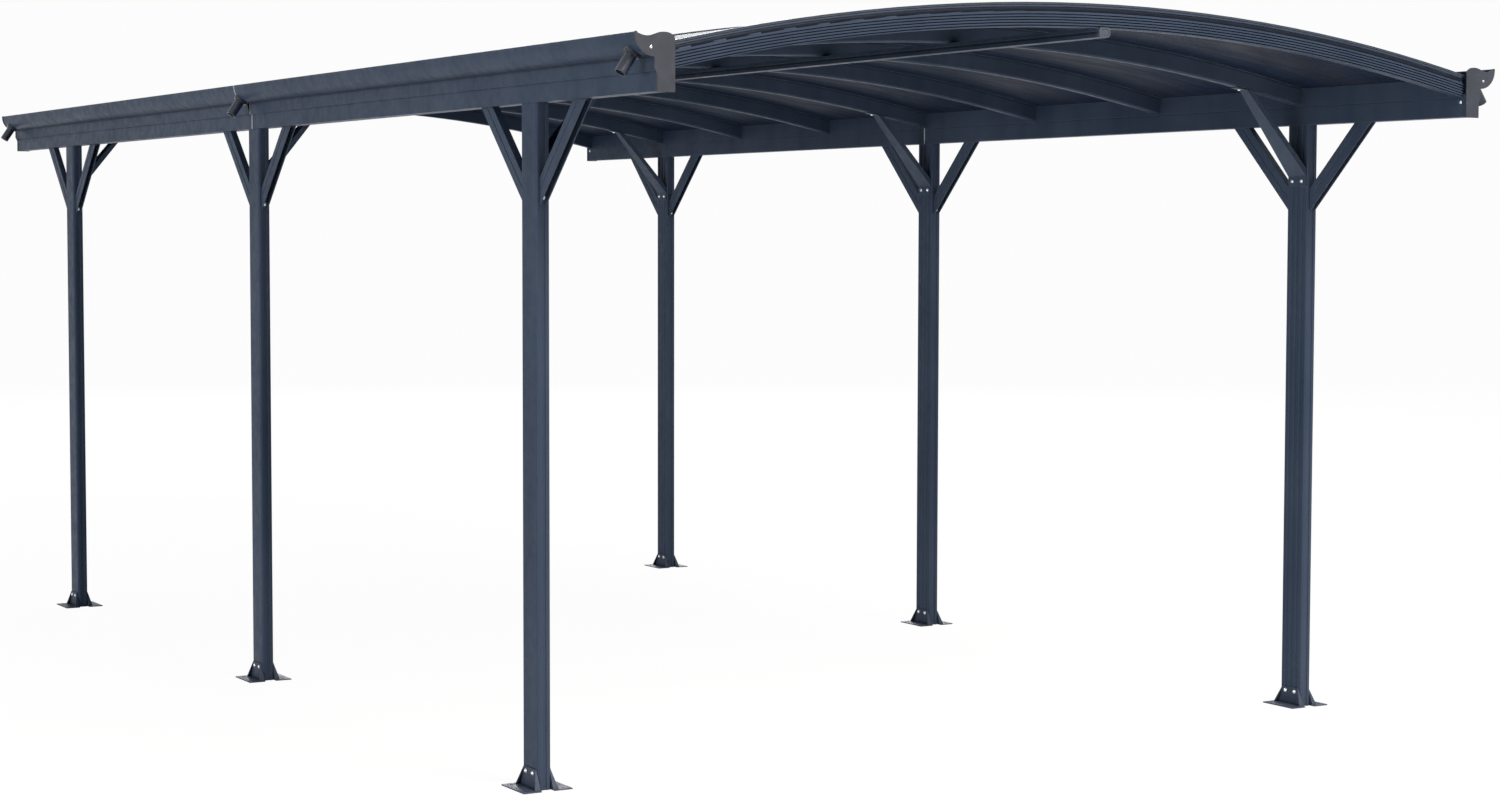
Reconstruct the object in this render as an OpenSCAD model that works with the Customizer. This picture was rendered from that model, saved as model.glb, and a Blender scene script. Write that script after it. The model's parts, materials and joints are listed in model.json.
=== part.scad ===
// Carport with an arched roof on six posts, standing on folded foot brackets.
// X runs across, Y along the roof with the front at the low end, Z is up from the ground.

/* [Layout] */
// Distance between neighbouring roof arches
bay_l = 800; // [700:10:1000]
// Distance across between the centres of the two post rows
row_gap = 3062; // [2800:2:3400]
// Clear height from the ground to the side beams
clear_h = 2100; // [1900:10:2400]

/* [Posts] */
// Size of a post across the carport
post_x = 44; // [38:1:52]
// Size of a post along the carport
post_y = 110; // [90:1:124]
// Wall of the post tube
post_wall = 2; // [1.5:0.5:3]
// Radius of the post corners
post_corner_r = 9; // [5:1:12]
// Depth of the grooves in the inner face of a post
post_groove_depth = 2.5; // [1:0.5:4]
// Width of those grooves
post_groove_w = 14; // [8:1:17]
// Distance from one groove to the next
post_groove_pitch = 27; // [22:1:31]
// Width of the slot along each narrow face of a post
post_slot_w = 12; // [8:1:16]
// Depth of that slot
post_slot_depth = 2; // [1:0.5:3]

/* [Foot brackets] */
// Length of a foot plate along the carport
foot_l = 160; // [130:2:180]
// Reach of a foot plate out from the post
foot_reach = 61; // [50:1:80]
// Thickness of the folded foot sheet
foot_sheet = 4; // [3:0.5:6]
// Height of the upright tab
foot_tab_h = 64; // [50:1:80]
// Width of the tab at its top
foot_tab_top_w = 84; // [70:1:90]
// Width of the tab at the plate
foot_tab_base_w = 140; // [110:2:150]
// Depth of the stiffening flange at the foot of the tab
foot_flange = 14; // [8:1:20]
// Distance between the two anchor holes of a plate
anchor_gap = 116; // [100:2:120]
// Radius of an anchor hole
anchor_r = 5.5; // [4:0.5:6.5]
// Distance of the anchor holes from the post face
anchor_out = 38; // [34:1:42]

/* [Braces] */
// Width of a side brace channel
brace_w = 24; // [20:1:30]
// Depth of a side brace channel
brace_depth = 58; // [44:1:66]
// How far a side brace reaches along the beam and down the post
brace_leg = 308; // [260:4:360]
// Sheet thickness of the braces
brace_sheet = 3; // [2:0.5:4]
// Length of the bolting tabs of a side brace
brace_tab = 72; // [56:1:76]
// Width of the shallow groove along each side of a side brace
brace_groove_w = 9; // [6:1:14]
// Depth of that groove
brace_groove_depth = 1.5; // [0.5:0.5:1.5]
// Distance of that groove from the upper edge of the brace
brace_groove_at = 22; // [16:1:30]
// Width of the inward brace at the post
knee_base_w = 96; // [80:1:104]
// Width of the inward brace at the roof
knee_top_w = 40; // [32:1:48]
// Depth of the side flanges of the inward brace
knee_flange = 20; // [14:1:24]
// Distance from the post face to the top of the inward brace
knee_run = 260; // [220:2:290]
// Distance from the ground to the fold of the inward brace, below the clear height
knee_drop = 186; // [160:2:220]
// Height of the tab that is bolted to the post
knee_tab_h = 34; // [26:1:44]
// Length of the tab under the roof arch
knee_top_tab = 40; // [30:1:50]

/* [Side beams] */
// Width of a side beam
beam_w = 52; // [46:1:58]
// Height of a side beam
beam_h = 76; // [66:1:90]
// Wall of the beam tube
beam_wall = 2.5; // [2:0.5:4]
// Distance from the top of a beam down to the groove on its inner face
beam_groove_down = 14; // [8:1:30]
// Width of that groove
beam_groove_w = 3; // [2:0.5:6]
// Depth of that groove
beam_groove_depth = 1; // [0.5:0.5:1.5]
// Overhang of the beams past the centre of the end arch
beam_overhang = 30; // [28:1:40]

/* [Gutters] */
// Radius of the outside of the gutter's round belly
gutter_r = 59; // [53:1:65]
// Width of the gutter's flat floor
gutter_floor = 12; // [9:1:20]
// Height of the gutter floor over the underside of the beam
gutter_v = 97; // [90:1:102]
// Sheet thickness of the gutter
gutter_wall = 2.5; // [2:0.5:4]
// Height of the straight part of the gutter's front wall
gutter_front = 2; // [1:1:8]
// Height of the gutter's inner wall over its floor
gutter_inner = 15; // [8:1:16]
// Thickness of the gutter's fixing flange on the side of the beam
gutter_flange = 8.5; // [6:0.5:12]
// Distance from the top of the beam down to the lower edge of that flange
gutter_flange_drop = 21; // [14:1:28]
// Radius of the bead on the gutter's edge
gutter_bead_r = 4; // [3:0.5:5]
// Thickness of a gutter end cap
cap_t = 4; // [3:0.5:6]
// How far an end cap stands past the outline of beam and gutter
cap_rim = 2.5; // [1:0.5:4]
// Height of the hump along the top of an end cap over the gutter's edge
cap_hump = 6; // [2:1:10]
// Depth of the dip along the top of an end cap below the gutter's edge
cap_dip = 6; // [2:1:10]
// How far the top of an end cap falls from the hump to its inner edge
cap_shoulder = 12; // [4:1:18]

/* [Outlets] */
// Outer radius of an outlet stub
outlet_r = 18; // [15:0.5:20]
// Wall of an outlet stub
outlet_wall = 3; // [2:0.5:4]
// Length of an outlet stub below the gutter
outlet_l = 68; // [55:1:90]
// Radius of the outlet collar at the gutter
outlet_collar_r = 26; // [22:0.5:29]
// Length of the outlet collar
outlet_collar_l = 8; // [6:1:16]
// Lean of the outlets out from straight down, in degrees
outlet_lean = 34; // [26:1:42]
// Distance of the end outlets from the end of the gutter
outlet_end = 64; // [50:2:200]

/* [Roof arches] */
// Radius of the top of the roof arches
arch_r = 6820; // [5600:20:9000]
// Height of the arch top over the underside of the beam, at the beam's inner face
arch_rise = 141; // [136:1:150]
// Depth of an end arch
arch_depth = 74; // [70:1:88]
// Depth of a rib
rib_depth = 72; // [66:1:80]
// Size of the slanted lower edges of a rib
rib_bevel = 5; // [3:0.5:7]
// Width of a rib
rib_w = 34; // [26:1:42]
// Width of the clamping strip along a rib
strip_w = 56; // [50:1:64]
// Thickness of the clamping strip
strip_t = 5; // [4:0.5:7]
// Thickness of the ledge that carries the roof sheets
ledge_t = 3; // [2:0.5:4]
// Width of an end arch, from the inner edge of its clamping strip to its face
end_arch_w = 44; // [40:1:54]
// Height of the plain band on the face of an end arch
band_h = 32; // [28:1:40]
// Depth of the hollow in the plain band
band_hollow = 8; // [4:0.5:9]
// Number of flutes on the face of an end arch
flutes = 5; // [3:1:6]
// Width of a flute at the face
flute_w = 3.5; // [2:0.5:5]
// Depth of a flute
flute_depth = 4; // [2:0.5:5]
// Clearance around the roof sheets
play = 0.3; // [0.2:0.1:0.5]

/* [Roof sheets] */
// Thickness of a roof sheet
sheet_t = 4; // [3:0.5:6]
// Overlap of a sheet onto the ledge of an arch
sheet_lap = 9; // [6:1:10]
// Distance by which a sheet overhangs the beam into the gutter
sheet_drip = 12; // [8:1:20]

/* [Ridge purlin] */
// Width of the ridge purlin
purlin_w = 42; // [36:1:50]
// Height of the ridge purlin
purlin_h = 30; // [26:1:38]
// Wall of the ridge purlin
purlin_wall = 2.5; // [2:0.5:3.5]
// Width of the groove along each side of the purlin
purlin_groove_w = 7; // [4:1:10]
// Depth of that groove
purlin_groove_depth = 3.5; // [2:0.5:5]
// Distance from the centre of an end arch to the end of the purlin
purlin_out = 13; // [8:1:20]
// Corner radius of the purlin end cap
purlin_cap_r = 9; // [6:0.5:12]
// Thickness of the purlin end cap
purlin_cap_t = 11; // [8:1:14]
// Depth of the shallow dish in the face of the cap
purlin_cap_dish = 1.5; // [0.5:0.5:3]
// Width of the rim around that dish
purlin_cap_rim = 5; // [3:1:7]

/* [Hidden] */
$fn = 64;
// One bay overhangs at each end, and three bays lie between two posts.
end_bays = 1;
post_bays = 3;
bays = 2 * end_bays + 2 * post_bays;
ARCH_FN = 720;
SIDES = ["left", "right"];
ROWS = ["front", "middle", "rear"];
ENDS = ["front", "rear"];

function side_of(s) = s == "left" ? 0 : 1;
function row_y(r) = (r == "front" ? -1 : r == "rear" ? 1 : 0) * post_bays * bay_l;
function arch_y(i) = (i - bays / 2) * bay_l;

post_half_x = post_x / 2;
post_half_y = post_y / 2;
beam_in_x = row_gap / 2 - beam_w / 2;
half_l = arch_y(bays) + beam_overhang;
arch_z = clear_h + arch_rise - sqrt(arch_r * arch_r - beam_in_x * beam_in_x);
arch_inner_r = arch_r - arch_depth;
rib_inner_r = arch_r - rib_depth;
end_face = end_arch_w - strip_w / 2;
sheet_top_r = arch_r - strip_t - play;
sheet_low_r = sheet_top_r - sheet_t;
ledge_top_r = sheet_low_r - play;
rib_end_x = beam_in_x + beam_w - 1;
sheet_end_x = beam_in_x + beam_w + sheet_drip;
rib_neck_w = strip_w - 2 * (sheet_lap + play);
gutter_cx = beam_w + gutter_floor;
gutter_cy = gutter_v + gutter_r;
gutter_lip_x = gutter_cx + gutter_r;
gutter_lip_v = gutter_cy + gutter_front;
gutter_bead_x = gutter_lip_x - gutter_bead_r / 2;
flange_v = beam_h - gutter_flange_drop;
upstand_x = beam_in_x + beam_wall;
upstand_v = arch_z + sqrt(pow(sheet_low_r, 2) - pow(upstand_x, 2)) - clear_h - play;
ledge_v = arch_z + sqrt(pow(ledge_top_r - ledge_t, 2) - pow(upstand_x, 2)) - clear_h - play;
outlet_bore_r = outlet_r - outlet_wall;
outlet_ys = [-(half_l - outlet_end), 0, half_l - outlet_end];
knee_fold_z = clear_h - knee_drop;
knee_face_x = row_gap / 2 - post_half_x;
knee_top_x = knee_face_x - knee_run;
knee_top_z = arch_z + sqrt(pow(rib_inner_r - play, 2) - pow(knee_top_x, 2));
knee_angle = atan2(knee_top_z - knee_fold_z, knee_run);
knee_l = norm([knee_run, knee_top_z - knee_fold_z]);
knee_top_slope = asin(knee_top_x / rib_inner_r);
purlin_top_z = arch_z + sqrt(pow(rib_inner_r, 2) - pow(purlin_w / 2, 2));
purlin_half_l = arch_y(bays) + purlin_out;

// Puts a shape drawn for the right side on either side.
module on_side(s) {
    mirror([1 - side_of(s), 0, 0]) children();
}

// Draws a shape at both ends of the carport, from its shape at the rear end.
module at_both_ends() {
    for (m = [0, 1]) {
        mirror([0, m, 0]) children();
    }
}

// Outline of a rectangle with round corners, centred.
module round_rect(w, h, r) {
    square([w - 2 * r, h], center = true);
    square([w, h - 2 * r], center = true);
    for (x = [-1, 1], y = [-1, 1]) {
        translate([x * (w / 2 - r), y * (h / 2 - r)]) circle(r = r);
    }
}

// Post tube with grooves along the face that looks inward and a slot in each narrow face.
module post_profile() {
    difference() {
        round_rect(post_x, post_y, post_corner_r);
        difference() {
            round_rect(
                post_x - 2 * post_wall,
                post_y - 2 * post_wall,
                post_corner_r - post_wall
            );
            translate([-post_half_x, -post_half_y])
                square([post_wall + post_groove_depth, post_y]);
            for (y = [-post_half_y, post_half_y]) {
                translate([0, y])
                    square(
                        [post_slot_w + 2 * post_wall, 2 * (post_wall + post_slot_depth)],
                        center = true
                    );
            }
        }
        for (y = [-post_half_y, post_half_y]) {
            translate([0, y]) square([post_slot_w, 2 * post_slot_depth], center = true);
        }
        for (i = [-1:1]) {
            translate([-post_half_x, i * post_groove_pitch])
                polygon([
                    [-1, -post_groove_w / 2],
                    [0, -post_groove_w / 2],
                    [post_groove_depth, -post_groove_w / 4],
                    [post_groove_depth, post_groove_w / 4],
                    [0, post_groove_w / 2],
                    [-1, post_groove_w / 2]
                ]);
        }
    }
}

module post(s, r) {
    color("#3f4854")
        on_side(s)
            translate([row_gap / 2, row_y(r), 0])
                linear_extrude(clear_h) post_profile();
}

// One folded bracket standing against the face of a post at x = 0.
module foot_bracket() {
    slope = (foot_tab_base_w - foot_tab_top_w) / 2 / (foot_tab_h - foot_sheet);
    difference() {
        translate([0, -foot_l / 2, 0]) cube([foot_reach, foot_l, foot_sheet]);
        for (y = [-1, 1]) {
            translate([anchor_out, y * anchor_gap / 2, -1])
                cylinder(r = anchor_r, h = foot_sheet + 2);
        }
    }
    rotate([90, 0, 90])
        linear_extrude(foot_sheet)
            polygon([
                [-foot_tab_base_w / 2, 0],
                [foot_tab_base_w / 2, 0],
                [foot_tab_base_w / 2, foot_sheet],
                [foot_tab_top_w / 2, foot_tab_h],
                [-foot_tab_top_w / 2, foot_tab_h],
                [-foot_tab_base_w / 2, foot_sheet]
            ]);
    // Stiffening flanges along the two slanted edges of the tab
    for (m = [0, 1]) {
        mirror([0, m, 0])
            intersection() {
                translate([0, foot_tab_top_w / 2 - 2 * foot_sheet, 0])
                    rotate([90, 0, 90])
                        linear_extrude(foot_flange + foot_sheet)
                            polygon([
                                [foot_sheet, foot_tab_h],
                                [2 * foot_sheet, foot_tab_h],
                                [2 * foot_sheet + slope * (foot_tab_h - foot_sheet), foot_sheet],
                                [2 * foot_sheet + slope * (foot_tab_h - foot_sheet), 0],
                                [foot_sheet + slope * (foot_tab_h - foot_sheet), 0]
                            ]);
                rotate([90, 0, 0])
                    translate([0, 0, -foot_l / 2])
                        linear_extrude(foot_l)
                            polygon([
                                [0, 0],
                                [foot_flange + foot_sheet, 0],
                                [foot_flange + foot_sheet, foot_sheet],
                                [foot_sheet, foot_tab_h - foot_sheet],
                                [0, foot_tab_h - foot_sheet]
                            ]);
            }
    }
}

module foot_brackets(s) {
    color("#3a424c")
        on_side(s)
            for (r = ROWS, m = [0, 1]) {
                translate([row_gap / 2, row_y(r), 0])
                    mirror([m, 0, 0])
                        translate([post_half_x, 0, 0]) foot_bracket();
            }
}

// Slanted strip between two distances from the upper edge of a side brace.
module brace_strip(from, to, ends) {
    near = brace_leg - (brace_depth - from) * sqrt(2);
    far = brace_leg - (brace_depth - to) * sqrt(2);
    polygon([
        [-ends, -near - ends],
        [near + ends, ends],
        [far + ends, ends],
        [-ends, -far - ends]
    ]);
}

// Side brace: a folded channel, open downward, from the post face at y = 0 up to the
// beam underside at z = 0.
module side_brace() {
    leg_up = brace_leg - brace_depth * sqrt(2);
    fold = brace_sheet * sqrt(2);
    for (m = [0, 1]) {
        mirror([m, 0, 0])
            difference() {
                translate([brace_w / 2 - brace_sheet, 0, 0])
                    rotate([90, 0, 90])
                        linear_extrude(brace_sheet) brace_strip(0, brace_depth, 0);
                translate([brace_w / 2 - brace_groove_depth, 0, 0])
                    rotate([90, 0, 90])
                        linear_extrude(brace_groove_depth + 1)
                            brace_strip(brace_groove_at, brace_groove_at + brace_groove_w, 1);
            }
    }
    translate([-brace_w / 2, 0, 0])
        rotate([90, 0, 90])
            linear_extrude(brace_w)
                polygon([
                    [0, -leg_up],
                    [leg_up, 0],
                    [leg_up + brace_tab, 0],
                    [leg_up + brace_tab, -brace_sheet],
                    [leg_up + fold - brace_sheet, -brace_sheet],
                    [brace_sheet, -leg_up - fold + brace_sheet],
                    [brace_sheet, -leg_up - brace_tab],
                    [0, -leg_up - brace_tab]
                ]);
}

// Inward brace: a tapered channel from the inner face of the post to the arch above.
// It is drawn with the post face at x = 0, inward along x, and z = 0 at its fold.
module knee_taper(inset, start, end) {
    half_base = knee_base_w / 2 - inset;
    half_top = knee_top_w / 2 - inset;
    grow = (half_base - half_top) / knee_l;
    polygon([
        [start, -(half_base - grow * start)],
        [end, -(half_base - grow * end)],
        [end, half_base - grow * end],
        [start, half_base - grow * start]
    ]);
}

module inward_brace() {
    tail = 2 * knee_flange;
    difference() {
        union() {
            translate([0, 0, knee_fold_z])
                rotate([0, -knee_angle, 0])
                    difference() {
                        linear_extrude(knee_flange) knee_taper(0, -tail, knee_l + tail);
                        translate([0, 0, brace_sheet])
                            linear_extrude(knee_flange)
                                knee_taper(brace_sheet, -tail - 1, knee_l + tail + 1);
                    }
            // Tab under the arch
            translate([knee_run, 0, knee_top_z])
                rotate([0, -knee_top_slope, 0])
                    translate([-brace_sheet, (brace_sheet - knee_top_w) / 2, -brace_sheet])
                        cube([
                            knee_top_tab + brace_sheet,
                            knee_top_w - brace_sheet,
                            2 * brace_sheet
                        ]);
        }
        // Cut flush with the face of the post
        translate([-4 * tail, -knee_base_w, knee_fold_z - 4 * tail])
            cube([4 * tail, 2 * knee_base_w, 8 * tail]);
        // Cut away below the fold
        translate([-tail, -knee_base_w, knee_fold_z - 4 * tail])
            cube([4 * tail, 2 * knee_base_w, 4 * tail]);
        // Cut to the underside of the arch
        translate([knee_face_x, 0, arch_z])
            rotate([90, 0, 0])
                difference() {
                    cylinder(r = arch_r + tail, h = 2 * knee_base_w, center = true, $fn = ARCH_FN);
                    cylinder(
                        r = rib_inner_r - play,
                        h = 3 * knee_base_w,
                        center = true,
                        $fn = ARCH_FN
                    );
                }
    }
    // Tab on the post
    translate([0, (brace_sheet - knee_base_w) / 2, knee_fold_z - knee_tab_h])
        cube([brace_sheet, knee_base_w - brace_sheet, knee_tab_h + brace_sheet]);
}

module braces(s, r) {
    color("#3f4854")
        on_side(s)
            translate([0, row_y(r), 0]) {
                for (m = [0, 1]) {
                    mirror([0, m, 0])
                        translate([row_gap / 2, post_half_y, clear_h]) side_brace();
                }
                translate([knee_face_x, 0, 0]) mirror([1, 0, 0]) inward_brace();
            }
}

// Beam and gutter outlines are drawn with x out from the beam's inner face and
// y up from the beam's underside.
// The upstand on its inner edge closes the gap under the roof sheets.
module beam_profile() {
    difference() {
        union() {
            square([beam_w, beam_h]);
            square([beam_wall, upstand_v]);
        }
        translate([beam_wall, beam_wall])
            square([beam_w - 2 * beam_wall, beam_h - 2 * beam_wall]);
        translate([-1, beam_h - beam_groove_down])
            square([beam_groove_depth + 1, beam_groove_w]);
    }
}

module gutter_outline(inset) {
    bottom = gutter_v + inset;
    r = gutter_r - inset;
    translate([beam_w + inset, bottom])
        square([gutter_floor - inset, gutter_lip_v - bottom]);
    intersection() {
        translate([gutter_cx, gutter_cy]) circle(r = r);
        translate([gutter_cx, bottom]) square([r, r]);
    }
    translate([gutter_cx - 1, gutter_cy - 1]) square([r + 1, gutter_front + 1]);
}

module gutter_profile() {
    difference() {
        gutter_outline(0);
        gutter_outline(gutter_wall);
        translate([beam_w + gutter_wall, gutter_lip_v - 1])
            square([gutter_floor + gutter_r - 2 * gutter_wall, 2]);
        translate([beam_w - 1, gutter_v + gutter_inner])
            square([gutter_wall + 2, gutter_r + gutter_front]);
    }
    translate([gutter_bead_x, gutter_lip_v]) circle(r = gutter_bead_r);
    translate([beam_w, flange_v]) square([gutter_flange, gutter_v + gutter_wall - flange_v]);
}

// Extrudes an outline along one half of the carport, from the middle to an end.
module along_half(e) {
    translate([beam_in_x, 0, clear_h])
        rotate([90, 0, 0])
            translate([0, 0, e == "front" ? 0 : -half_l])
                linear_extrude(half_l) children();
}

// Box through the upstand, from y to y + l and from the height v up.
module upstand_notch(y, l, v) {
    translate([beam_in_x - 1, y, clear_h + v])
        cube([beam_wall + 2, l, upstand_v]);
}

// Where the arches pass through the upstands of the beams.
module arch_notches() {
    for (i = [0:bays]) {
        upstand_notch(arch_y(i) - rib_w / 2 - play, rib_w + 2 * play, beam_h);
        upstand_notch(arch_y(i) - strip_w / 2 - play, strip_w + 2 * play, ledge_v);
    }
    for (y = [-half_l - 1, arch_y(bays)]) {
        upstand_notch(y, beam_overhang + 1, beam_h);
    }
}

module side_beam(s, e) {
    color("#3f4854")
        on_side(s)
            difference() {
                along_half(e) beam_profile();
                arch_notches();
            }
}

module at_outlet(y) {
    translate([beam_in_x + gutter_cx, y, clear_h + gutter_cy])
        rotate([0, 180 - outlet_lean, 0]) children();
}

module gutter(s, e) {
    color("#434c58")
        on_side(s)
            difference() {
                along_half(e) gutter_profile();
                for (y = outlet_ys) {
                    at_outlet(y) cylinder(r = outlet_bore_r, h = gutter_r + 1);
                }
            }
}

// Outlet: a collar that fits the gutter's belly, and a stub tube below it.
module outlet(y) {
    difference() {
        at_outlet(y)
            difference() {
                union() {
                    cylinder(r = outlet_r, h = gutter_r + outlet_l);
                    cylinder(r = outlet_collar_r, h = gutter_r + outlet_collar_l - outlet_wall);
                    translate([0, 0, gutter_r + outlet_collar_l - outlet_wall])
                        cylinder(r = outlet_collar_r - outlet_wall, h = outlet_wall);
                }
                translate([0, 0, -1]) cylinder(r = outlet_bore_r, h = gutter_r + outlet_l + 2);
            }
        // Shaped to the round belly, with the flat floor cut away
        translate([beam_in_x + gutter_cx, y, clear_h + gutter_cy])
            rotate([90, 0, 0])
                cylinder(r = gutter_r + play, h = 3 * outlet_collar_r, center = true, $fn = 128);
        translate([
            beam_in_x,
            y - 2 * outlet_collar_r,
            clear_h + gutter_v - play
        ])
            cube([gutter_cx, 4 * outlet_collar_r, gutter_r + gutter_front]);
    }
}

module gutter_outlets(s) {
    color("#15171a")
        on_side(s)
            for (y = outlet_ys) {
                outlet(y);
            }
}

// Outline of a gutter end cap: the beam, the gutter and a wave along the top.
wave_high = gutter_lip_v + cap_hump;
wave_low = gutter_lip_v - cap_dip;
wave_top_x = beam_w * 2 / 3;
wave_dip_x = gutter_cx + gutter_r * 2 / 5;

function wave(x) =
    (wave_high + wave_low) / 2
    + (wave_high - wave_low) / 2 * cos(180 * (x - wave_top_x) / (wave_dip_x - wave_top_x));

function shoulder(x) = wave_high - cap_shoulder * pow((wave_top_x - x) / wave_top_x, 3);

module cap_profile() {
    steps = 24;
    first = -cap_rim - 1;
    last = gutter_lip_x + cap_rim + 1;
    wave_points = [
        for (i = [0:steps])
            let (x = first + (last - first) * i / steps)
                [x, x < wave_top_x ? shoulder(x) : wave(x)]
    ];
    intersection() {
        polygon(concat([[last, 0], [first, 0]], wave_points));
        union() {
            translate([-cap_rim, gutter_v - cap_rim])
                square([gutter_cx + cap_rim, gutter_r + wave_high - gutter_v]);
            translate([gutter_cx, gutter_cy])
                square([gutter_r + cap_rim, wave_high - gutter_v]);
            translate([gutter_cx, gutter_cy])
                intersection() {
                    circle(r = gutter_r + cap_rim);
                    translate([0, -gutter_r - cap_rim]) square(gutter_r + cap_rim);
                }
        }
    }
    translate([gutter_bead_x, gutter_lip_v]) circle(r = gutter_bead_r + cap_rim / 2);
    polygon([
        [-cap_rim, -cap_rim],
        [beam_w + cap_rim, -cap_rim],
        [beam_w + cap_rim, flange_v - gutter_flange],
        [beam_w + gutter_flange + cap_rim, flange_v + gutter_flange],
        [beam_w + gutter_flange + cap_rim, gutter_v],
        [-cap_rim, gutter_v]
    ]);
}

module gutter_caps(s) {
    color("#5f666c")
        on_side(s)
            at_both_ends()
                translate([beam_in_x, half_l + cap_t, clear_h])
                    rotate([90, 0, 0]) linear_extrude(cap_t) cap_profile();
}

// Turns an outline drawn as [radius, place along the carport] through an angle on
// both sides of the ridge. Each side may run a little past the ridge, in degrees.
module arch_turn(y, angle, past = 0) {
    for (m = [0, 1]) {
        mirror([m, 0, 0])
            translate([0, y, arch_z])
                rotate([90, 0, 0])
                    rotate([0, 0, 90 - angle])
                        rotate_extrude(angle = angle + past, $fn = ARCH_FN) children();
    }
}

// An arch whose ends are cut upright over the beams.
module arch_bar(y) {
    intersection() {
        arch_turn(y, asin((rib_end_x + strip_w) / arch_inner_r)) children();
        translate([-rib_end_x, y - bay_l, clear_h])
            cube([2 * rib_end_x, 2 * bay_l, arch_depth + arch_r]);
    }
}

// The space that the beams take out of the ends of an arch.
module beam_space(y) {
    for (m = [0, 1]) {
        mirror([m, 0, 0])
            translate([beam_in_x, y - bay_l / 2, clear_h])
                cube([2 * beam_w, bay_l, beam_h]);
    }
}

// Rib: a web with slanted lower edges, the ledge for the sheets and the clamping strip.
module rib_profile() {
    polygon([
        [rib_inner_r, rib_bevel - rib_w / 2],
        [rib_inner_r + rib_bevel, -rib_w / 2],
        [ledge_top_r, -rib_w / 2],
        [ledge_top_r, rib_w / 2],
        [rib_inner_r + rib_bevel, rib_w / 2],
        [rib_inner_r, rib_w / 2 - rib_bevel]
    ]);
    translate([ledge_top_r - ledge_t, -strip_w / 2]) square([ledge_t, strip_w]);
    translate([ledge_top_r - 1, -rib_neck_w / 2])
        square([arch_r - ledge_top_r + 1, rib_neck_w]);
    translate([arch_r - strip_t, -strip_w / 2]) square([strip_t, strip_w]);
}

module rib(i) {
    color("#3d4652")
        difference() {
            arch_bar(arch_y(i)) rib_profile();
            beam_space(arch_y(i));
        }
}

// End arch: y = 0 lies over its centre and the carport's outside is towards plus y.
module end_arch_profile() {
    flute_pitch = (arch_depth - band_h) / flutes;
    hollow_r = (pow(band_h / 2 - strip_t, 2) + pow(band_hollow, 2)) / (2 * band_hollow);
    difference() {
        union() {
            translate([arch_inner_r, -rib_w / 2])
                square([arch_depth, end_face + rib_w / 2]);
            translate([ledge_top_r - ledge_t, -strip_w / 2])
                square([ledge_t, end_arch_w]);
            translate([arch_r - strip_t, -strip_w / 2])
                square([strip_t, end_arch_w]);
        }
        // Rebate for the edge of the roof sheet
        translate([ledge_top_r, -strip_w / 2 - 1])
            square([arch_r - strip_t - ledge_top_r, (strip_w - rib_neck_w) / 2 + 1]);
        // Hollow in the plain band
        translate([arch_r - (band_h + strip_t) / 2, end_face - band_hollow + hollow_r])
            circle(r = hollow_r, $fn = 256);
        // Flutes in the lower band
        for (i = [0:flutes - 1]) {
            translate([arch_inner_r + (i + 0.5) * flute_pitch, end_face])
                polygon([
                    [-flute_w / 2, 1],
                    [-flute_w / 2, 0],
                    [-flute_w / 4, -flute_depth],
                    [flute_w / 4, -flute_depth],
                    [flute_w / 2, 0],
                    [flute_w / 2, 1]
                ]);
        }
    }
}

module end_arch(e) {
    color("#3d4652")
        mirror([0, e == "front" ? 0 : 1, 0])
            difference() {
                arch_bar(arch_y(0)) end_arch_profile();
                beam_space(arch_y(0));
                // Notch for the purlin
                translate([-purlin_w / 2 - play, arch_y(0) - strip_w, purlin_top_z - purlin_h])
                    cube([purlin_w + 2 * play, 2 * strip_w, purlin_h]);
            }
}

module roof_sheet(i) {
    sheet_l = bay_l - rib_neck_w - 2 * play;
    color("#1f2a3c")
        arch_turn((arch_y(i - 1) + arch_y(i)) / 2, asin(sheet_end_x / arch_r), 0.5)
            translate([sheet_low_r, -sheet_l / 2]) square([sheet_t, sheet_l]);
}

module purlin_profile() {
    difference() {
        square([purlin_w, purlin_h], center = true);
        difference() {
            square([purlin_w - 2 * purlin_wall, purlin_h - 2 * purlin_wall], center = true);
            square(
                [purlin_w, purlin_groove_w + 2 * purlin_wall],
                center = true
            );
        }
        square(
            [purlin_w - 2 * purlin_groove_depth - 2 * purlin_wall, purlin_groove_w + 2 * purlin_wall],
            center = true
        );
        for (x = [-1, 1]) {
            translate([x * purlin_w / 2, 0])
                square([2 * purlin_groove_depth, purlin_groove_w], center = true);
        }
    }
}

module ridge_purlin() {
    color("#3a4350")
        translate([0, purlin_half_l, purlin_top_z - purlin_h / 2])
            rotate([90, 0, 0]) linear_extrude(2 * purlin_half_l) purlin_profile();
}

module purlin_end_caps() {
    color("#7d838a")
        at_both_ends()
            translate([0, purlin_half_l + purlin_cap_t, purlin_top_z - purlin_h / 2])
                rotate([90, 0, 0])
                    difference() {
                        linear_extrude(purlin_cap_t) round_rect(purlin_w, purlin_h, purlin_cap_r);
                        translate([0, 0, -1])
                            linear_extrude(purlin_cap_dish + 1)
                                round_rect(
                                    purlin_w - 2 * purlin_cap_rim,
                                    purlin_h - 2 * purlin_cap_rim,
                                    purlin_cap_r - purlin_cap_rim / 2
                                );
                    }
}

for (s = SIDES, r = ROWS) {
    post(s, r);
    braces(s, r);
}
for (s = SIDES, e = ENDS) {
    side_beam(s, e);
    gutter(s, e);
}
for (s = SIDES) {
    foot_brackets(s);
    gutter_caps(s);
    gutter_outlets(s);
}
for (e = ENDS) {
    end_arch(e);
}
for (i = [1:bays - 1]) {
    rib(i);
}
for (i = [1:bays]) {
    roof_sheet(i);
}
ridge_purlin();
purlin_end_caps();
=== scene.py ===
"""Arched carport: finishes, bolts, screws, joint trims, gaskets and arch trims on the CAD part."""

import json
import math

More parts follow.
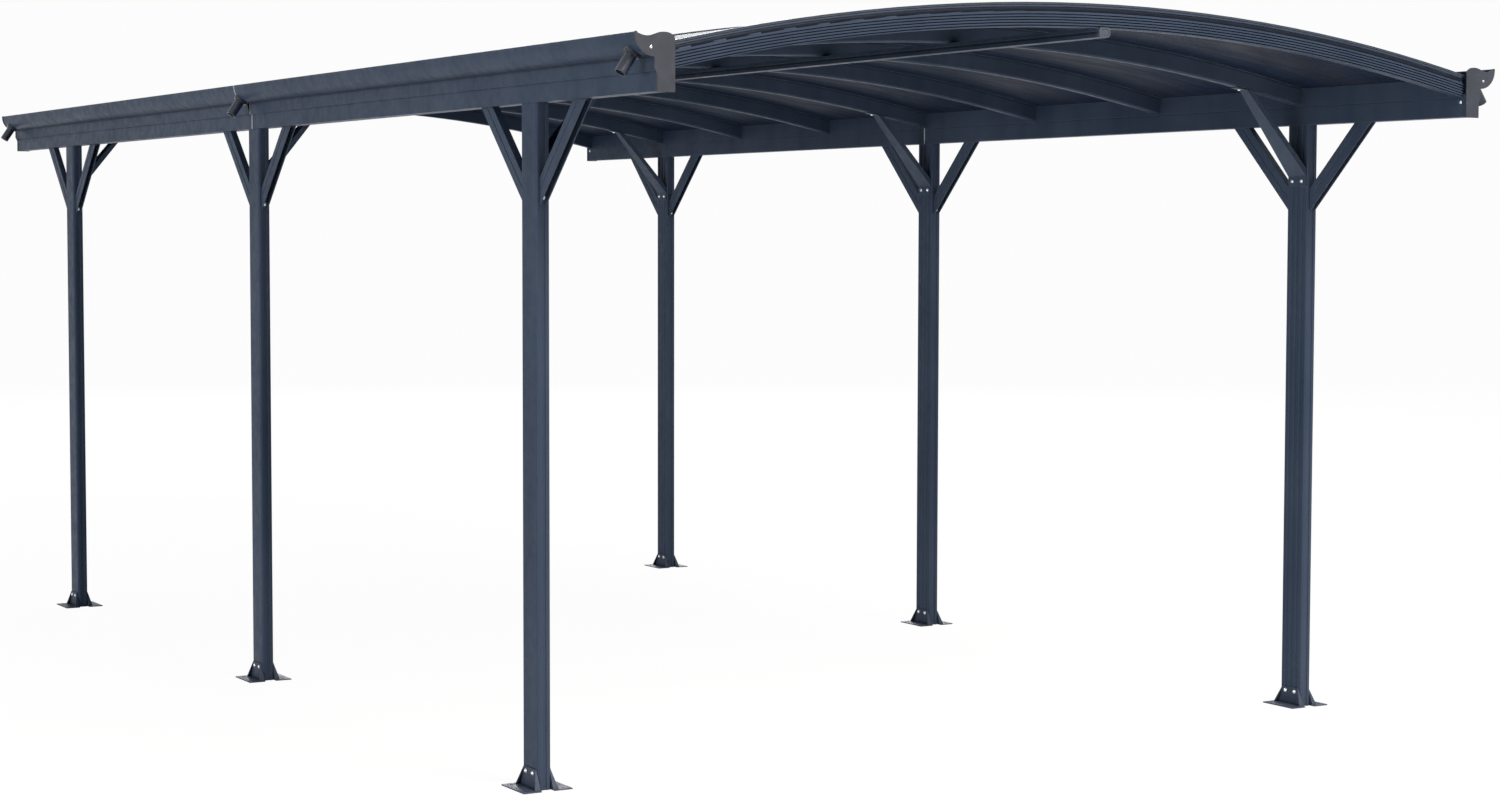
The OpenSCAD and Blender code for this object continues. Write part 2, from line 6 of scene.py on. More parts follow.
import bpy
from mathutils import Matrix, Vector


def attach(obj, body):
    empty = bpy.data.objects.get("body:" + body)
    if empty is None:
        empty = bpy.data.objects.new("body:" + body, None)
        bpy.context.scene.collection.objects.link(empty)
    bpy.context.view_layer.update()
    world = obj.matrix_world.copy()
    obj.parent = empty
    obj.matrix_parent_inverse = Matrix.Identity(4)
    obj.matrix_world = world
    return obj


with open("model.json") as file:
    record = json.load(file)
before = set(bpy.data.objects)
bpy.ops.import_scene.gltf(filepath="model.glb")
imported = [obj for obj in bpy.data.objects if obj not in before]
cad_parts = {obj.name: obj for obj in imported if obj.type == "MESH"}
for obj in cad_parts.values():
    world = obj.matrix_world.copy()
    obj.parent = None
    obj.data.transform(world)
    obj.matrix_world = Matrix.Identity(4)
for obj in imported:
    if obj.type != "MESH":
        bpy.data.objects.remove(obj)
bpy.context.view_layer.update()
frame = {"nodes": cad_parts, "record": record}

# Places on the carport in metres, as in the CAD part
SIDES = {"left": -1, "right": 1}
ENDS = {"front": -1, "rear": 1}
POST_ROWS = {"front": -2.4, "middle": 0.0, "rear": 2.4}
POST_X = 1.531
POST_HALF_X = 0.022
POST_HALF_Y = 0.055
BEAM_IN_X = 1.505
BEAM_UNDER_Z = 2.100
CAP_SEAT_Y = 3.2317
RIB_YS = tuple(round(-2.4 + 0.8 * i, 3) for i in range(7))
STRIP_HALF = 0.028
ARCH_AXIS_Z = -4.41087
ARCH_TOP_R = 6.820
ARCH_END_X = 1.500
ARCH_FACE_Y = 3.216
SHEET_TOP_R = 6.8147

# Bolts and screws: heights and distances in metres
FOOT_SHEET_T = 0.004
BRACE_SHEET_T = 0.003
FOOT_BOLT_Z = 0.050
FOOT_BOLT_STEP = 0.024
KNEE_BOLT_Z = 1.900
KNEE_BOLT_STEP = 0.0245
RIB_TAB_BOLT_X = 1.232
RIB_TAB_BOLT_Z = 2.2204
POST_TAB_BOLT_ZS = (1.850, 1.815)
BEAM_TAB_BOLT_REACH = 0.262
CAP_SCREW_X, CAP_SCREW_Z = 1.579, 2.2205
TIP_SCREW_X, TIP_SCREW_Z = 1.626, 2.258
BEAM_SCREW_Y, BEAM_SCREW_Z = 3.205, 2.150
SOCKET_SHARE = 0.42
DOME_STEPS = ((0.30, 0.93), (0.22, 0.84), (0.13, 0.74))

# Joints, gaskets and arch trims
JOINT_HALF_WIDTH = 0.0025
JOINT_PROUD = 0.0006
MERGE = 0.00001
JOINT_MERGE = 0.00002
GASKET_WIDTH = 0.0022
GASKET_LIFT = 0.0009
ARCH_STEPS = 48

# Studio: each lamp's place, size, power and colour; the camera is the photograph's
LAMPS = {
    "key": ((2.0, -14.0, 11.0), (6.0, 6.0), 5000.0, (1.0, 0.88, 0.76)),
    "side": ((-22.0, -4.0, 1.3), (10.0, 2.4), 2300.0, (1.0, 1.0, 1.0)),
    "back": ((8.0, 15.0, 8.0), (8.0, 8.0), 1600.0, (1.0, 1.0, 1.0)),
}
LAMP_AIM = (0, 0, 1.4)
AMBIENT_COLOUR = (0.92, 0.97, 1.0, 1)
AMBIENT_STRENGTH = 0.42
SKY_LEVEL = 0.976
FLOOR_SIZE = 240
FLOOR_Z = -0.0003
FLOOR_COLOUR = (0.86, 0.87, 0.88, 1)
FLOOR_WHITE = 0.96
CAMERA_PLACE = (-5.1958, -9.9733, 1.6991)
CAMERA_YAW, CAMERA_PITCH, CAMERA_ROLL = 0.5286, -0.0595, 0.0020
FOCAL_PIXELS = 2747.0
PHOTO_PIXELS = 1500
SENSOR_MM = 36
VIEW_REACH = 400


def tone(red, green, blue):
    """A colour from 0 to 255 as it looks on a screen, turned into Blender's own values."""
    def straight(v):
        v = v / 255
        return v / 12.92 if v <= 0.04045 else ((v + 0.055) / 1.055) ** 2.4
    return (straight(red), straight(green), straight(blue), 1.0)


class Finish:
    """A material with a Principled shader and short ways to add the nodes that it needs."""

    def __init__(self, name, roughness, metallic=0.0, gloss=0.5):
        self.material = bpy.data.materials.new(name)
        self.material.use_nodes = True
        self.nodes = self.material.node_tree.nodes
        self.links = self.material.node_tree.links
        self.shader = self.nodes["Principled BSDF"]
        self.shader.inputs["Roughness"].default_value = roughness
        self.shader.inputs["Metallic"].default_value = metallic
        self.shader.inputs["IOR"].default_value = 1.5
        self.shader.inputs["Specular IOR Level"].default_value = gloss
        self.coordinates = self.nodes.new("ShaderNodeTexCoord").outputs["Object"]

    def stretched(self, scale):
        """Object coordinates stretched by a scale for each axis."""
        node = self.nodes.new("ShaderNodeMapping")
        node.inputs["Scale"].default_value = scale
        self.links.new(self.coordinates, node.inputs["Vector"])
        return node.outputs["Vector"]

    def noise(self, scale, detail=2.0, stretch=(1, 1, 1)):
        """Soft noise from 0 to 1; a stretch below 1 draws it out along that axis."""
        node = self.nodes.new("ShaderNodeTexNoise")
        node.inputs["Scale"].default_value = scale
        node.inputs["Detail"].default_value = detail
        self.links.new(self.stretched(stretch), node.inputs["Vector"])
        return node.outputs["Fac"]

    def lines(self, pitch, axis="Y"):
        """Fine parallel lines across one axis, one line for each pitch."""
        node = self.nodes.new("ShaderNodeTexWave")
        node.bands_direction = axis
        node.inputs["Scale"].default_value = math.pi / (10 * pitch)
        self.links.new(self.coordinates, node.inputs["Vector"])
        return node.outputs["Fac"]

    def spread(self, value, low, high, from_low=0.35, from_high=0.65):
        """Maps a value onto the range from low to high."""
        node = self.nodes.new("ShaderNodeMapRange")
        node.inputs["From Min"].default_value = from_low
        node.inputs["From Max"].default_value = from_high
        node.inputs["To Min"].default_value = low
        node.inputs["To Max"].default_value = high
        self.links.new(value, node.inputs["Value"])
        return node.outputs["Result"]

    def share(self, value, most):
        """Scales a value that runs from 0 to 1, so that it is at most the given share."""
        return self.spread(value, 0.0, most, 0.0, 1.0)

    def blend(self, amount, first, second):
        """Mixes two colours, each a tone or the output of another node."""
        node = self.nodes.new("ShaderNodeMix")
        node.data_type = "RGBA"
        self.links.new(amount, node.inputs["Factor"])
        for socket, colour in (("A_Color", first), ("B_Color", second)):
            target = next(i for i in node.inputs if i.identifier == socket)
            if isinstance(colour, tuple):
                target.default_value = colour
            else:
                self.links.new(colour, target)
        return next(o for o in node.outputs if o.identifier == "Result_Color")

    def rounded(self, radius):
        """The normal with edges rounded by a small radius, and how near an edge a place is."""
        bevel = self.nodes.new("ShaderNodeBevel")
        bevel.samples = 6
        bevel.inputs["Radius"].default_value = radius
        geometry = self.nodes.new("ShaderNodeNewGeometry")
        dot = self.nodes.new("ShaderNodeVectorMath")
        dot.operation = "DOT_PRODUCT"
        self.links.new(bevel.outputs["Normal"], dot.inputs[0])
        self.links.new(geometry.outputs["Normal"], dot.inputs[1])
        edge = self.spread(dot.outputs["Value"], 1.0, 0.0, 0.82, 0.985)
        return bevel.outputs["Normal"], edge

    def hollows(self, reach):
        """How deep a place lies in a groove or corner, from 0 in the open to 1 deep inside."""
        node = self.nodes.new("ShaderNodeAmbientOcclusion")
        node.samples = 8
        node.only_local = True
        node.inputs["Distance"].default_value = reach
        return self.spread(node.outputs["AO"], 1.0, 0.0, 0.30, 0.92)

    def bump(self, height, distance, strength, normal=None):
        """A normal that follows a height, over the plain normal or another one."""
        node = self.nodes.new("ShaderNodeBump")
        node.inputs["Distance"].default_value = distance
        node.inputs["Strength"].default_value = strength
        self.links.new(height, node.inputs["Height"])
        if normal:
            self.links.new(normal, node.inputs["Normal"])
        return node.outputs["Normal"]

    def done(self, colour, roughness, normal):
        """Joins the last colour, roughness and normal to the shader."""
        self.links.new(colour, self.shader.inputs["Base Color"])
        self.links.new(roughness, self.shader.inputs["Roughness"])
        self.links.new(normal, self.shader.inputs["Normal"])
        return self.material


def powder_coat(name, dark, light, dust_and_highlight_tone, edge_radius=0.0016, groove_shade=0.9):
    """Satin powder coat: orange peel, faint random changes of tone, edges made lighter partly by
    wear and partly by a painted highlight, and painted shade in its grooves.
    """
    finish = Finish(name, roughness=0.40, metallic=0.08, gloss=0.05)
    clouds = finish.spread(finish.noise(1.7, 3.0), 0.0, 1.0)
    rain = finish.spread(finish.noise(9.0, 3.0, (1, 1, 0.12)), 0.0, 1.0)
    base = finish.blend(clouds, dark, light)
    dusty = finish.blend(finish.share(rain, 0.09), base, dust_and_highlight_tone)
    normal, edge = finish.rounded(edge_radius)
    # Edges lighter in colour: partly wear, partly a painted highlight along them.
    worn_and_painted_light = finish.blend(finish.share(edge, 0.6), dusty, dust_and_highlight_tone)
    # Painted shade: grooves, corners and recesses darkened towards a near-black blue by ambient
    # occlusion.
    colour = finish.blend(finish.share(finish.hollows(0.010), groove_shade), worn_and_painted_light, tone(9, 13, 20))
    roughness = finish.spread(finish.noise(30.0, 4.0), 0.36, 0.50)
    peel = finish.bump(finish.noise(650.0, 2.0), 0.0004, 0.22, normal)
    return finish.done(colour, roughness, peel)


def smoked_sheet(name):
    """Dark roof sheet: soft gloss, faint inner channels along the arch, a painted warm sheen in
    broad patches, and fine streaks that are partly scuffs and partly a painted reflection.
    """
    finish = Finish(name, roughness=0.45, metallic=0.04, gloss=0.02)
    # Painted sheen: broad patches of a paler warm tone where the sheet catches light.
    painted_sheen = finish.spread(finish.noise(1.6, 5.0, (0.5, 2.6, 1)), 0.0, 1.0, 0.42, 0.72)
    # Streaks of a paler grey: partly scuffs, partly a painted reflection in the sheet.
    scuffs_and_reflection = finish.spread(finish.noise(26.0, 4.0, (0.35, 2.0, 1)), 0.0, 1.0, 0.5, 0.75)
    base = finish.blend(painted_sheen, tone(25, 35, 53), tone(36, 41, 53))
    worn_and_painted_light = finish.blend(finish.share(scuffs_and_reflection, 0.2), base, tone(56, 60, 68))
    channels = finish.lines(0.010)
    colour = finish.blend(finish.share(channels, 0.10), worn_and_painted_light, tone(16, 24, 38))
    roughness = finish.spread(finish.noise(9.0, 5.0, (0.4, 2.0, 1)), 0.40, 0.58)
    ripple = finish.bump(channels, 0.0003, 0.10)
    waves = finish.bump(finish.noise(3.0, 2.0, (0.6, 2.0, 1)), 0.004, 0.10, ripple)
    return finish.done(colour, roughness, waves)


def moulded_plastic(name, dark, light, roughness, grain, gloss=0.2):
    """Moulded plastic: fine grain, soft edges lightened by a painted highlight, and a slight random
    change of shade.
    """
    finish = Finish(name, roughness=roughness, gloss=gloss)
    clouds = finish.spread(finish.noise(22.0, 3.0), 0.0, 1.0)
    normal, edge = finish.rounded(0.0012)
    base = finish.blend(clouds, dark, light)
    # Painted highlight: edges lightened towards the paler tone.
    colour = finish.blend(finish.share(edge, 0.35), base, light)
    rough = finish.spread(finish.noise(60.0, 3.0), roughness - 0.05, roughness + 0.07)
    return finish.done(colour, rough, finish.bump(finish.noise(1400.0, 2.0), 0.0003, grain, normal))


def zinc_plate(name):
    """Bright zinc on bolts and screws, with a faint brushed grain."""
    finish = Finish(name, roughness=0.30, metallic=0.85)
    clouds = finish.spread(finish.noise(160.0, 3.0), 0.0, 1.0)
    colour = finish.blend(clouds, tone(205, 208, 212), tone(238, 240, 242))
    rough = finish.spread(finish.noise(900.0, 3.0, (1, 1, 0.2)), 0.24, 0.40)
    return finish.done(colour, rough, finish.bump(finish.noise(1800.0, 2.0), 0.0001, 0.15))


def bare_edge(name):
    """Cut aluminium that shows at a joint, with saw marks."""
    finish = Finish(name, roughness=0.45, metallic=0.25)
    marks = finish.spread(finish.noise(300.0, 3.0, (1, 4, 1)), 0.0, 1.0)
    colour = finish.blend(marks, tone(150, 156, 164), tone(186, 190, 196))
    rough = finish.spread(finish.noise(500.0, 2.0), 0.38, 0.55)
    return finish.done(colour, rough, finish.bump(marks, 0.0002, 0.2))


def seal_rubber(name):
    """Black rubber with a dull skin."""
    finish = Finish(name, roughness=0.75)
    dust = finish.spread(finish.noise(40.0, 4.0), 0.0, 1.0)
    colour = finish.blend(dust, tone(20, 21, 23), tone(38, 39, 42))
    rough = finish.spread(finish.noise(120.0, 3.0), 0.68, 0.85)
    return finish.done(colour, rough, finish.bump(finish.noise(900.0, 2.0), 0.0002, 0.3))


FRAME_PAINT = powder_coat(
    "frame_paint_coat", tone(38, 49, 66), tone(45, 56, 73), tone(86, 95, 110))
BRACE_PAINT = powder_coat(
    "brace_paint_coat", tone(41, 52, 69), tone(48, 59, 76), tone(92, 100, 114), groove_shade=0.2)
ARCH_PAINT = powder_coat(
    "arch_paint_coat", tone(38, 49, 66), tone(45, 56, 73), tone(70, 80, 96), edge_radius=0.0006)
BRACKET_PAINT = powder_coat(
    "bracket_paint_coat", tone(42, 50, 66), tone(51, 59, 75), tone(100, 108, 120),
    edge_radius=0.0012)
ROOF_SHEET = smoked_sheet("roof_sheet_smoked")
CAP_GREY = moulded_plastic(
    "cap_plastic_grey", tone(37, 42, 51), tone(42, 47, 57), roughness=0.5, grain=0.25)
CAP_PALE = moulded_plastic(
    "purlin_cap_pale", tone(48, 55, 66), tone(54, 61, 73), roughness=0.5, grain=0.2)
OUTLET_BLACK = moulded_plastic(
    "outlet_plastic_black", tone(22, 27, 40), tone(31, 37, 52),
    roughness=0.2, grain=0.06, gloss=0.5)
# Painted shade: the near-black finish of the strip laid in each end arch's hollow.
HOLLOW_SHADE_DARK = moulded_plastic(
    "arch_hollow_shade_dark", tone(11, 16, 26), tone(15, 21, 33), roughness=0.5, grain=0.2, gloss=0.1)
ZINC = zinc_plate("bolt_zinc")
JOINT_EDGE = bare_edge("joint_cut_edge")
SEAL = seal_rubber("seal_rubber_black")

SLOT_FINISH = {
    "frame_paint": FRAME_PAINT,
    "bracket_paint": BRACKET_PAINT,
    "roof_sheet": ROOF_SHEET,
    "cap_plastic": CAP_GREY,
    "outlet_plastic": OUTLET_BLACK,
}
NODE_FINISH = {f"{side}_{row}_braces": BRACE_PAINT for side in SIDES for row in POST_ROWS}
NODE_FINISH.update(purlin_end_caps=CAP_PALE, front_arch=ARCH_PAINT, rear_arch=ARCH_PAINT)

# End arch trims: metres below the arch's top and behind its face, width, thickness,
# tilt in degrees, and finish
ARCH_TRIMS = {
    # Painted shadow: a black rubber strip just below the arch's top stands in for a dark shadow
    # line there.
    "shadow_line_seal": (0.0056, 0.0, 0.0030, 0.0022, 0, SEAL),
    "bead": (0.0115, 0.0025, 0.0068, 0.0068, 0, FRAME_PAINT),
    # Painted shade: a dark strip in the hollow stands in for the shade there.
    "hollow_shade_strip": (0.0220, 0.0042, 0.0144, 0.0048, -8, HOLLOW_SHADE_DARK),
}


def dress_frame():
    """Gives each CAD node its own finish, or else the finish of its slot in the record."""
    slots = {row["node"]: row["material_slot"] for row in frame["record"]["subparts"]}
    for name, obj in frame["nodes"].items():
        finish = NODE_FINISH.get(name, SLOT_FINISH[slots[name]])
        for slot in obj.material_slots:
            slot.material = finish


def start():
    """Leaves edit mode and clears the selection before a new primitive."""
    if bpy.context.object and bpy.context.object.mode != "OBJECT":
        bpy.ops.object.mode_set(mode="OBJECT")
    bpy.ops.object.select_all(action="DESELECT")


def edit_faces(obj, wanted):
    """Opens a piece in edit mode with only the wanted faces selected."""
    bpy.ops.object.mode_set(mode="EDIT")
    bpy.ops.mesh.select_mode(type="FACE")
    bpy.ops.mesh.select_all(action="DESELECT")
    bpy.ops.object.mode_set(mode="OBJECT")
    for face in obj.data.polygons:
        face.select = wanted(face)
    bpy.ops.object.mode_set(mode="EDIT")


def apply_modifier(obj, kind, **settings):
    """Adds a modifier with the given settings and applies it at once."""
    modifier = obj.modifiers.new(kind.title(), kind)
    for key, value in settings.items():
        setattr(modifier, key, value)
    bpy.context.view_layer.objects.active = obj
    bpy.ops.object.modifier_apply(modifier=modifier.name)


def socket_screw(name, head_r, head_h, washer_r, washer_t):
    """A domed head with a hexagon socket on a washer, seated on z = 0 and looking up."""
    start()
    bpy.ops.mesh.primitive_cylinder_add(
        vertices=24, radius=washer_r, depth=washer_t, location=(0, 0, washer_t / 2))
    screw = bpy.context.object
    bpy.ops.object.transform_apply(location=True)
    edit_faces(screw, lambda face: face.normal.z > 0.9)
    bpy.ops.mesh.inset(thickness=washer_r - head_r)
    bpy.ops.mesh.extrude_region_move(TRANSFORM_OT_translate={"value": (0, 0, head_h * 0.35)})
    for share, width in DOME_STEPS:
        bpy.ops.mesh.extrude_region_move(TRANSFORM_OT_translate={"value": (0, 0, head_h * share)})
        bpy.ops.transform.resize(value=(width, width, 1))
    bpy.ops.object.mode_set(mode="OBJECT")
    start()
    bpy.ops.mesh.primitive_cylinder_add(
        vertices=6, radius=head_r * SOCKET_SHARE, depth=head_h * 1.2,
        location=(0, 0, washer_t + head_h))
    key = bpy.context.object
    apply_modifier(screw, "BOOLEAN", operation="DIFFERENCE", object=key, solver="EXACT")
    bpy.data.objects.remove(key)
    apply_modifier(screw, "BEVEL", width=head_h * 0.06, segments=2, limit_method="ANGLE")
    start()
    screw.select_set(True)
    bpy.context.view_layer.objects.active = screw
    bpy.ops.object.shade_smooth_by_angle(angle=math.radians(35))
    screw.name = name
    return screw


def put_copies(name, template, places, material):
    """Copies a small piece to each place and direction, and joins the copies."""
    start()
    copies = []
    for place, direction in places:
        copy = template.copy()
        copy.data = template.data.copy()
        bpy.context.collection.objects.link(copy)
        turn = Vector((0, 0, 1)).rotation_difference(Vector(direction).normalized())
        copy.data.transform(Matrix.Translation(Vector(place)) @ turn.to_matrix().to_4x4())
        copy.select_set(True)
        copies.append(copy)
    bpy.context.view_layer.objects.active = copies[0]
    bpy.ops.object.join()
    finish_piece(bpy.context.object, name, material)


def finish_piece(piece, name, material):
    """Names a piece, gives it its finish and lets it ride on the carport."""
    piece.name = name
    piece.data.name = name
    piece.data.materials.clear()
    piece.data.materials.append(material)
    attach(piece, "root")


def foot_bolt_places(s, y):
    """Two bolts through each foot bracket's tab, on both wide faces of a post."""
    places = []
    for face in (-1, 1):
        x = s * POST_X + face * (POST_HALF_X + FOOT_SHEET_T)
        places += [((x, y + step, FOOT_BOLT_Z), (face, 0, 0))
                   for step in (-FOOT_BOLT_STEP, FOOT_BOLT_STEP)]
    return places


def brace_bolt_places(s, y):
    """Bolts of the inward brace at the post and the rib, and of both side braces."""
    knee_x = s * (POST_X - POST_HALF_X - BRACE_SHEET_T)
    places = [((knee_x, y + step, KNEE_BOLT_Z), (-s, 0, 0))
              for step in (-KNEE_BOLT_STEP, KNEE_BOLT_STEP)]
    places.append(((s * RIB_TAB_BOLT_X, y, RIB_TAB_BOLT_Z), (0, 0, -1)))
    for end in (-1, 1):
        tab_y = y + end * (POST_HALF_Y + BRACE_SHEET_T)
        places += [((s * POST_X, tab_y, z), (0, end, 0)) for z in POST_TAB_BOLT_ZS]
        beam_y = y + end * (POST_HALF_Y + BEAM_TAB_BOLT_REACH)
        places.append(((s * POST_X, beam_y, BEAM_UNDER_Z - BRACE_SHEET_T), (0, 0, -1)))
    return places


def frame_bolts():
    """Bolts of the feet and of the braces, one piece of each for each post."""
    bolt = socket_screw(
        "bolt_pattern", head_r=0.0056, head_h=0.0034, washer_r=0.0070, washer_t=0.0012)
    for side, s in SIDES.items():
        for row, y in POST_ROWS.items():
            put_copies(f"{side}_{row}_foot_bolts", bolt, foot_bolt_places(s, y), ZINC)
            put_copies(f"{side}_{row}_brace_bolts", bolt, brace_bolt_places(s, y), ZINC)
    bpy.data.objects.remove(bolt)


def cap_screws():
    """Flat screws in the gutter end caps, and one in each end of the beams' inner faces."""
    screw = socket_screw(
        "screw_pattern", head_r=0.0050, head_h=0.0022, washer_r=0.0058, washer_t=0.0004)
    tip = socket_screw(
        "tip_pattern", head_r=0.0028, head_h=0.0016, washer_r=0.0032, washer_t=0.0003)
    for side, s in SIDES.items():
        caps = [((s * CAP_SCREW_X, e * CAP_SEAT_Y, CAP_SCREW_Z), (0, e, 0)) for e in (-1, 1)]
        put_copies(f"{side}_cap_screws", screw, caps, ZINC)
        tips = [((s * TIP_SCREW_X, e * CAP_SEAT_Y, TIP_SCREW_Z), (0, e, 0)) for e in (-1, 1)]
        put_copies(f"{side}_cap_tip_screws", tip, tips, ZINC)
        beams = [((s * BEAM_IN_X, e * BEAM_SCREW_Y, BEAM_SCREW_Z), (-s, 0, 0)) for e in (-1, 1)]
        put_copies(f"{side}_beam_end_screws", screw, beams, ZINC)
    bpy.data.objects.remove(screw)
    bpy.data.objects.remove(tip)


def joint_trims():
    """The cut ends that show where two lengths of beam and gutter meet at the middle."""
    for side in SIDES:
        for part in ("gutter", "side_beam"):
            source = frame["nodes"][f"{side}_rear_{part}"]
            start()
            trim = source.copy()
            trim.data = source.data.copy()
            trim.parent = None
            trim.animation_data_clear()
            bpy.context.collection.objects.link(trim)
            trim.select_set(True)
            bpy.context.view_layer.objects.active = trim
            bpy.ops.object.mode_set(mode="EDIT")
            bpy.ops.mesh.select_all(action="SELECT")
            bpy.ops.mesh.remove_doubles(threshold=MERGE)
            bpy.ops.mesh.bisect(
                plane_co=(0, 2 * JOINT_HALF_WIDTH, 0), plane_no=(0, 1, 0),
                use_fill=True, clear_outer=True)
            bpy.ops.mesh.select_all(action="SELECT")
            bpy.ops.mesh.remove_doubles(threshold=JOINT_MERGE)
            bpy.ops.mesh.dissolve_degenerate(threshold=JOINT_MERGE)
            bpy.ops.transform.translate(value=(0, -JOINT_HALF_WIDTH, 0))
            bpy.ops.transform.shrink_fatten(value=JOINT_PROUD)
            bpy.ops.object.mode_set(mode="OBJECT")
            for key in list(trim.keys()):
                if key.startswith("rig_"):
                    del trim[key]
            finish_piece(trim, f"{side}_{part}_joint", JOINT_EDGE)


def arch_bead(name, radius, y, width, thickness, tilt, material):
    """A bead along an arch: an oval section turned round the arch's axis, with closed ends."""
    half_angle = math.asin(ARCH_END_X / ARCH_TOP_R)
    start()
    bpy.ops.mesh.primitive_circle_add(vertices=12, radius=1)
    bead = bpy.context.object
    bead.scale = (width / 2, thickness / 2, 1)
    bead.rotation_euler.z = tilt
    bpy.ops.object.transform_apply(location=False, rotation=True, scale=True)
    bead.rotation_euler.y = math.pi / 2 - half_angle
    left_x = -radius * math.sin(half_angle)
    bead.location = (left_x, y, ARCH_AXIS_Z + radius * math.cos(half_angle))
    bpy.ops.object.transform_apply(location=True, rotation=True, scale=False)
    bpy.ops.object.mode_set(mode="EDIT")
    bpy.ops.mesh.select_all(action="SELECT")
    bpy.ops.mesh.spin(
        steps=ARCH_STEPS, angle=-2 * half_angle, center=(0, y, ARCH_AXIS_Z), axis=(0, 1, 0))
    bpy.ops.mesh.select_all(action="SELECT")
    bpy.ops.mesh.remove_doubles(threshold=MERGE)
    bpy.ops.mesh.select_mode(type="EDGE")
    bpy.ops.mesh.select_all(action="DESELECT")
    bpy.ops.mesh.select_non_manifold()
    bpy.ops.mesh.edge_face_add()
    bpy.ops.mesh.select_all(action="SELECT")
    bpy.ops.mesh.normals_make_consistent(inside=False)
    bpy.ops.object.mode_set(mode="OBJECT")
    bpy.ops.object.shade_smooth_by_angle(angle=math.radians(60))
    finish_piece(bead, name, material)


def roof_gaskets():
    """Rubber beads along both edges of the clamping strips, on top of the sheets."""
    radius = SHEET_TOP_R + GASKET_LIFT
    for number, rib_y in enumerate(RIB_YS, 1):
        for end, e in ENDS.items():
            arch_bead(f"rib_{number}_{end}_gasket", radius, rib_y + e * STRIP_HALF,
                      GASKET_WIDTH, GASKET_WIDTH, 0.0, SEAL)


def end_arch_trims():
    """On the face of each end arch: a black rubber strip as a painted shadow line, a bead, and a
    dark strip in the hollow as painted shade.
    """
    for end, e in ENDS.items():
        for trim, (below_top, behind_face, width, thickness, tilt, material) in ARCH_TRIMS.items():
            arch_bead(f"{end}_arch_{trim}", ARCH_TOP_R - below_top,
                      e * (ARCH_FACE_Y - behind_face), width, thickness,
                      e * math.radians(tilt), material)


def white_for_the_eye(material_or_world, plain_socket, output, amount, level=1.0):
    """Shows white to camera, glossy and transmission rays, and leaves the rest as it is."""
    nodes = material_or_world.node_tree.nodes
    links = material_or_world.node_tree.links
    path = nodes.new("ShaderNodeLightPath")
    first = nodes.new("ShaderNodeMath")
    first.operation = "MAXIMUM"
    second = nodes.new("ShaderNodeMath")
    second.operation = "MAXIMUM"
    links.new(path.outputs["Is Camera Ray"], first.inputs[0])
    links.new(path.outputs["Is Glossy Ray"], first.inputs[1])
    links.new(first.outputs[0], second.inputs[0])
    links.new(path.outputs["Is Transmission Ray"], second.inputs[1])
    share = nodes.new("ShaderNodeMath")
    share.operation = "MULTIPLY"
    share.inputs[1].default_value = amount
    links.new(second.outputs[0], share.inputs[0])
    white = nodes.new("ShaderNodeEmission" if amount < 1 else "ShaderNodeBackground")
    white.inputs["Strength"].default_value = level
    white.inputs["Color"].default_value = (1, 1, 1, 1)
    mix = nodes.new("ShaderNodeMixShader")
    links.new(share.outputs[0], mix.inputs["Fac"])
    links.new(plain_socket, mix.inputs[1])
    links.new(white.outputs[0], mix.inputs[2])
    links.new(mix.outputs[0], output)


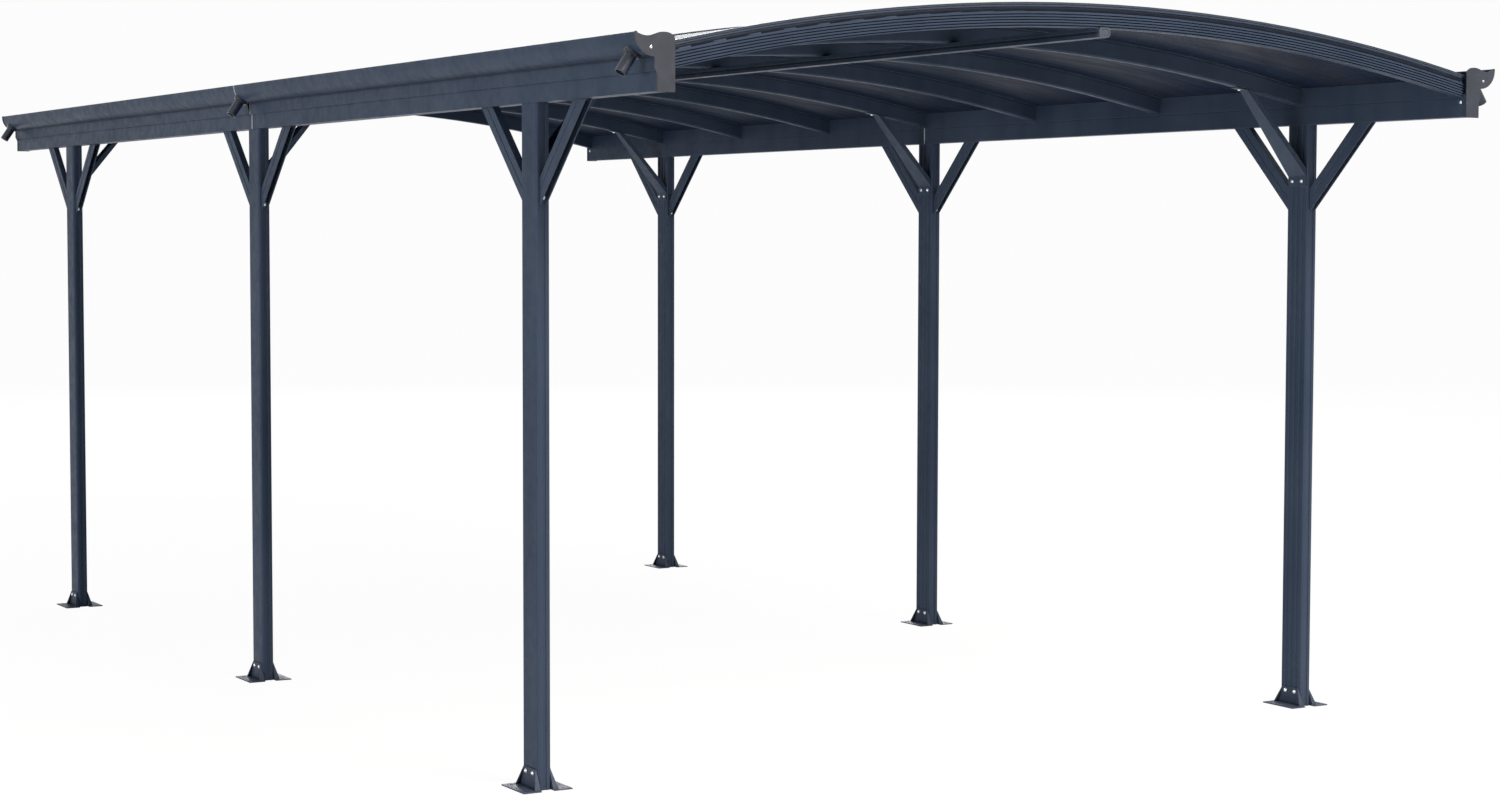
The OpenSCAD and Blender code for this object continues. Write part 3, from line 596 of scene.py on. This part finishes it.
def floor():
    """A wide pale floor that takes the carport's shadow."""
    start()
    bpy.ops.mesh.primitive_grid_add(
        x_subdivisions=4, y_subdivisions=4, size=FLOOR_SIZE, location=(0, 0, FLOOR_Z))
    ground = bpy.context.object
    ground.name = "floor"
    material = bpy.data.materials.new("floor_white")
    material.use_nodes = True
    shader = material.node_tree.nodes["Principled BSDF"]
    shader.inputs["Base Color"].default_value = FLOOR_COLOUR
    shader.inputs["Roughness"].default_value = 0.9
    shader.inputs["Specular IOR Level"].default_value = 0.1
    output = material.node_tree.nodes["Material Output"].inputs["Surface"]
    white_for_the_eye(material, shader.outputs[0], output, FLOOR_WHITE)
    ground.data.materials.append(material)


def light():
    """A soft even sky, a key lamp in front, a low side lamp and one behind."""
    world = bpy.data.worlds.new("studio")
    world.use_nodes = True
    bpy.context.scene.world = world
    ambient = world.node_tree.nodes["Background"]
    ambient.inputs["Color"].default_value = AMBIENT_COLOUR
    ambient.inputs["Strength"].default_value = AMBIENT_STRENGTH
    output = world.node_tree.nodes["World Output"].inputs["Surface"]
    white_for_the_eye(world, ambient.outputs[0], output, 1.0, SKY_LEVEL)
    for name, (place, size, power, colour) in LAMPS.items():
        bpy.ops.object.light_add(type="AREA", location=place)
        lamp = bpy.context.object
        lamp.name = name
        lamp.data.shape = "RECTANGLE"
        lamp.data.size, lamp.data.size_y = size
        lamp.data.energy = power
        lamp.data.color = colour
        aim = Vector(LAMP_AIM) - Vector(place)
        lamp.rotation_euler = aim.to_track_quat("-Z", "Y").to_euler()


def camera():
    """The photograph's view: low in front on the left, looking up under the roof a little."""
    forward = Vector((
        math.sin(CAMERA_YAW) * math.cos(CAMERA_PITCH),
        math.cos(CAMERA_YAW) * math.cos(CAMERA_PITCH),
        math.sin(CAMERA_PITCH)))
    level = Vector((math.cos(CAMERA_YAW), -math.sin(CAMERA_YAW), 0))
    above = level.cross(forward)
    right = level * math.cos(CAMERA_ROLL) + above * math.sin(CAMERA_ROLL)
    up = above * math.cos(CAMERA_ROLL) - level * math.sin(CAMERA_ROLL)
    bpy.ops.object.camera_add(location=CAMERA_PLACE)
    eye = bpy.context.object
    eye.name = "camera"
    eye.rotation_euler = Matrix((right, up, -forward)).transposed().to_euler()
    eye.data.sensor_width = SENSOR_MM
    eye.data.lens = FOCAL_PIXELS / PHOTO_PIXELS * SENSOR_MM
    eye.data.clip_end = VIEW_REACH
    bpy.context.scene.camera = eye
    bpy.context.scene.view_settings.view_transform = "Standard"


dress_frame()
frame_bolts()
cap_screws()
joint_trims()
roof_gaskets()
end_arch_trims()
floor()
light()
camera()
